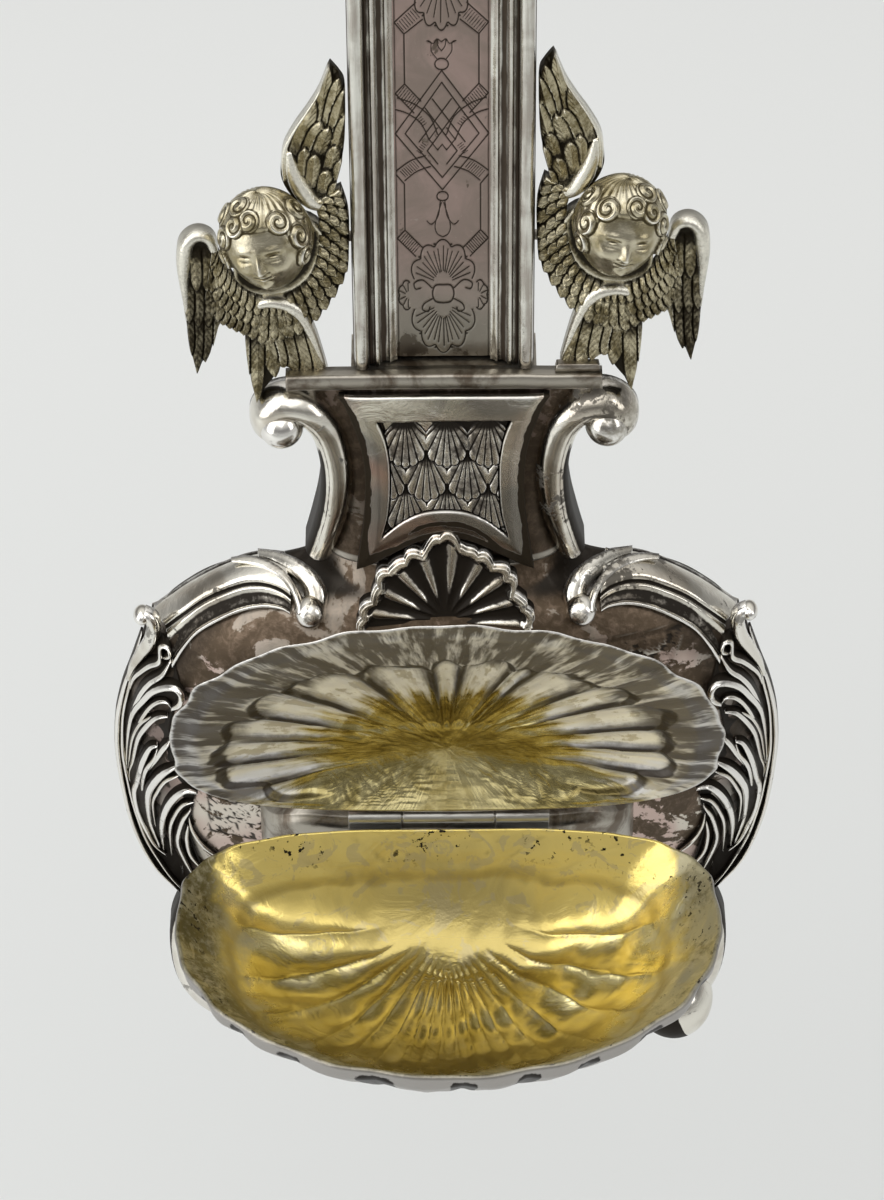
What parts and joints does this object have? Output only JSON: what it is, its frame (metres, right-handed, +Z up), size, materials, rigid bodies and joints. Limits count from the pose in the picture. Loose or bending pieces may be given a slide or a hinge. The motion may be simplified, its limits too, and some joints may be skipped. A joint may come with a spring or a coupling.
{
  "type": "holy water stoup",
  "caption": "Wall-hung silver holy water stoup: engraved pillar, winged cherub heads, scrolled body with acanthus edges, and a gilt shell bowl under a hinged shell lid.",
  "frame": {"origin": "the middle of the back plate's rear face, at the height of the bowl's rim", "axes": "+Y into the wall, +Z up, +X to the viewer's right"},
  "size_m": [0.1472, 0.1166, 0.3235],
  "materials": {
    "silver": "polished",
    "tarnished_silver": "satin",
    "gilt": "polished"
  },
  "bodies": {
    "stoup": {"back_plate": "tarnished_silver", "belly_shell": "tarnished_silver", "neck_shell": "tarnished_silver", "top_ledge": "silver", "wing_rest_block": "silver", "pillar_back": "silver", "pillar_panel": "silver", "pillar_moulding_right": "silver", "pillar_moulding_left": "silver", "pillar_moulding_top": "silver", "pillar_cap": "silver", "pillar_tongue": "silver", "hanging_loop": "silver", "cherub_wings_right": "silver", "cherub_wings_left": "silver", "cherub_head_right": "silver", "cherub_head_left": "silver", "cherub_stud_right": "silver", "cherub_stud_left": "silver", "cherub_nut_right": "silver", "cherub_nut_left": "silver", "neck_frame": "silver", "scale_panel": "tarnished_silver", "neck_scroll_right": "silver", "neck_scroll_left": "silver", "shoulder_scroll_right": "silver", "shoulder_scroll_left": "silver", "foot_scroll_right": "silver", "foot_scroll_left": "silver", "leaf_right": "silver", "leaf_left": "silver", "crest_shell": "tarnished_silver", "bowl": "gilt", "bowl_knuckle_left": "silver", "bowl_knuckle_right": "silver", "hinge_pin": "silver", "bowl_bracket": "silver", "bracket_screw_left": "silver", "bracket_screw_right": "silver"},
    "lid": {"lid": "gilt", "lid_knuckle": "silver"}
  },
  "joints": [
    {"name": "lid_hinge", "type": "hinge", "parent": "stoup", "child": "lid", "pos_m": [0, -0.0419, 0.0006], "axis": [1, 0, 0], "range_deg": [0, 78]}
  ]
}
